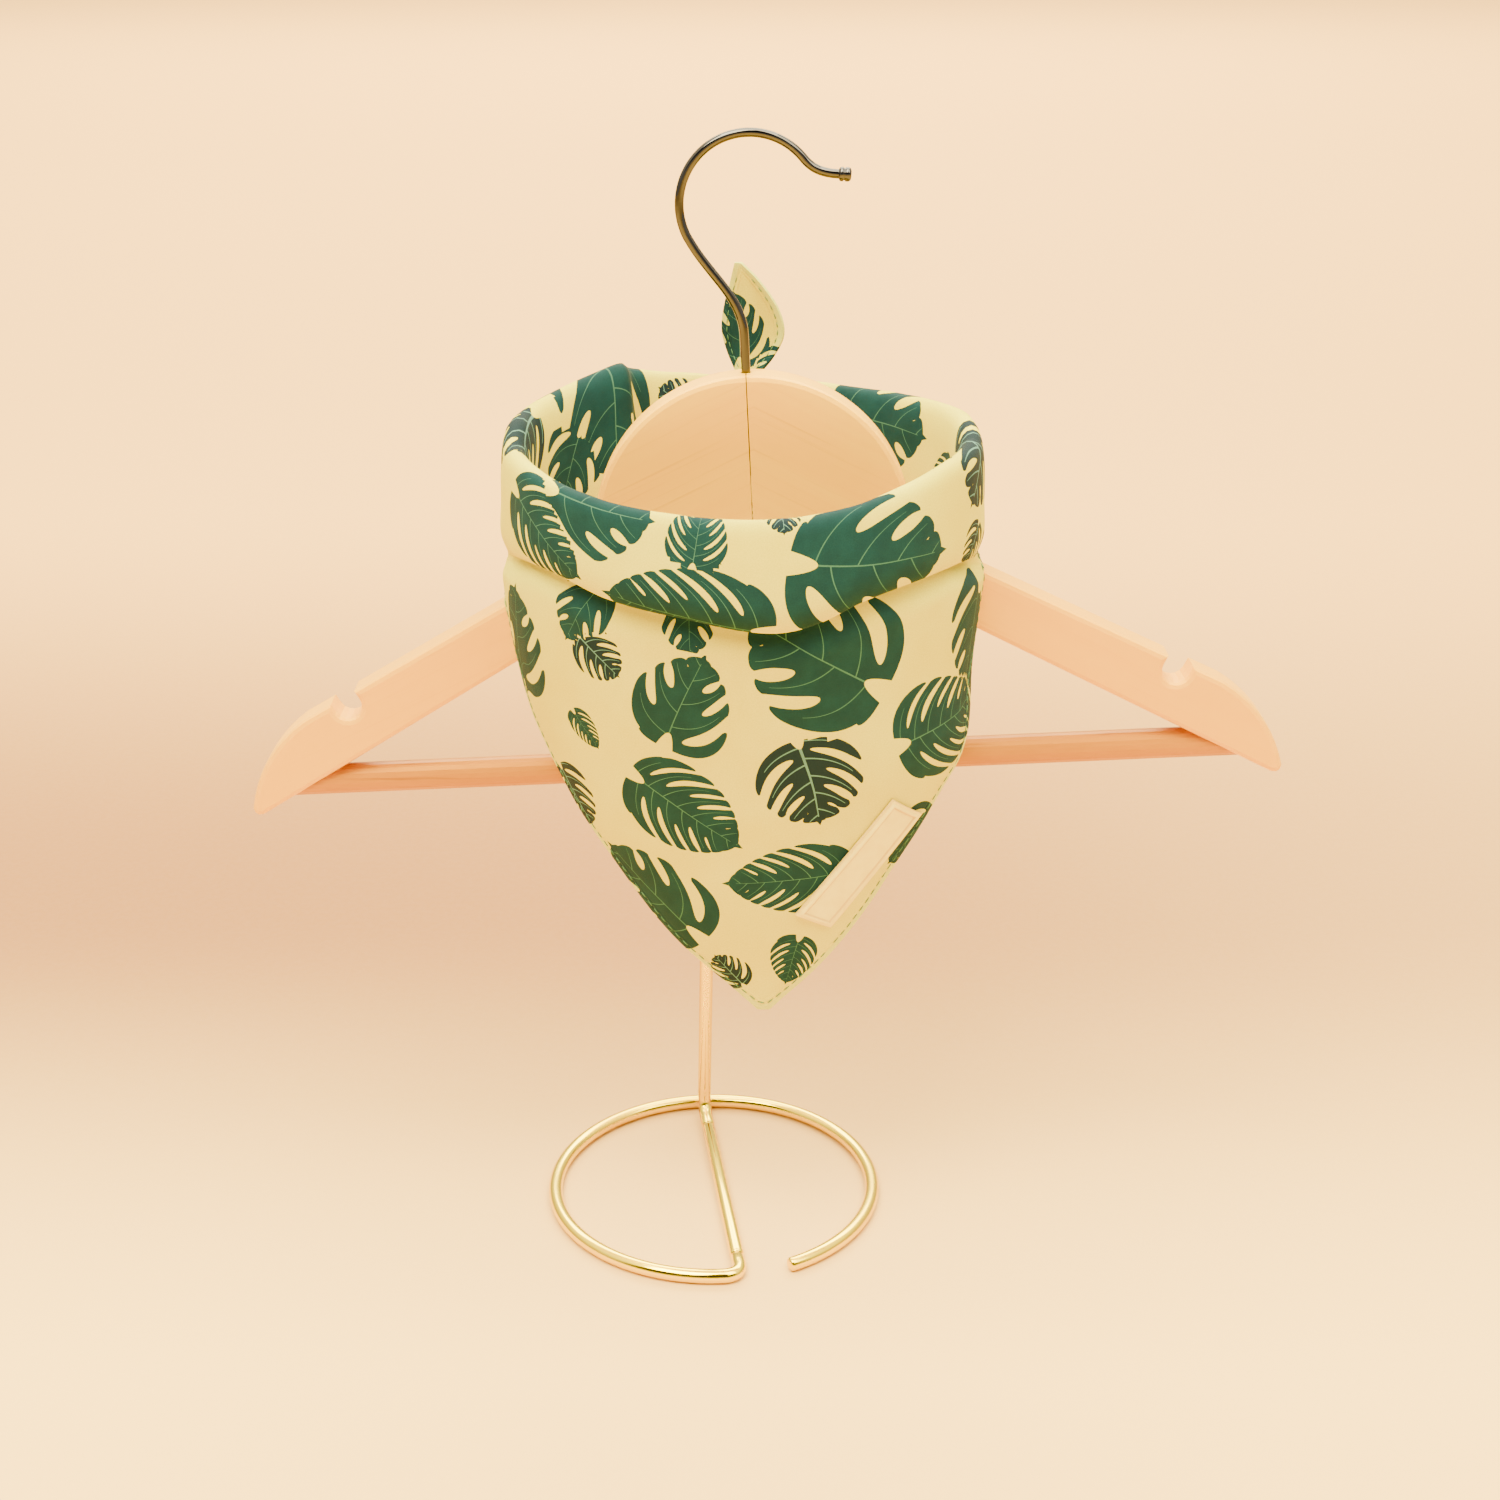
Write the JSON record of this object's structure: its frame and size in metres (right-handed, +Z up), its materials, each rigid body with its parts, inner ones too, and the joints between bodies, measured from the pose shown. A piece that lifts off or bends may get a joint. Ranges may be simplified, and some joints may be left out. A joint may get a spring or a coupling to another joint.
{
  "type": "bandana on clothes hanger and wire stand",
  "caption": "Leaf-print dog bandana knotted round the neck of a small wooden clothes hanger, which rests on a bent-wire display stand.",
  "frame": {"origin": "middle of the bounding box, on the floor that the stand's ring lies on", "axes": "+Z up, +X to the right along the hanger as seen from the front, the front of the bandana towards -Y"},
  "size_m": [0.3162, 0.1252, 0.3462],
  "materials": {
    "cloth": "printed cotton, cream with green leaves",
    "label": "plain blank patch",
    "wood": "clear varnish",
    "bar": "clear varnish, darker",
    "plated": "polished",
    "gold": "light gold plate"
  },
  "bodies": {
    "root": {"bandana_front": "cloth", "bandana_collar": "cloth", "bandana_back_left": "cloth", "bandana_back_right": "cloth", "bandana_knot": "cloth", "bandana_tail_up": "cloth", "bandana_tail_down": "cloth", "bandana_label": "label", "hanger_left": "wood", "hanger_right": "wood", "hanger_bar": "bar", "hanger_hook": "plated", "stand_ring": "gold", "stand_crossbar": "gold", "stand_post": "gold"}
  },
  "joints": []
}
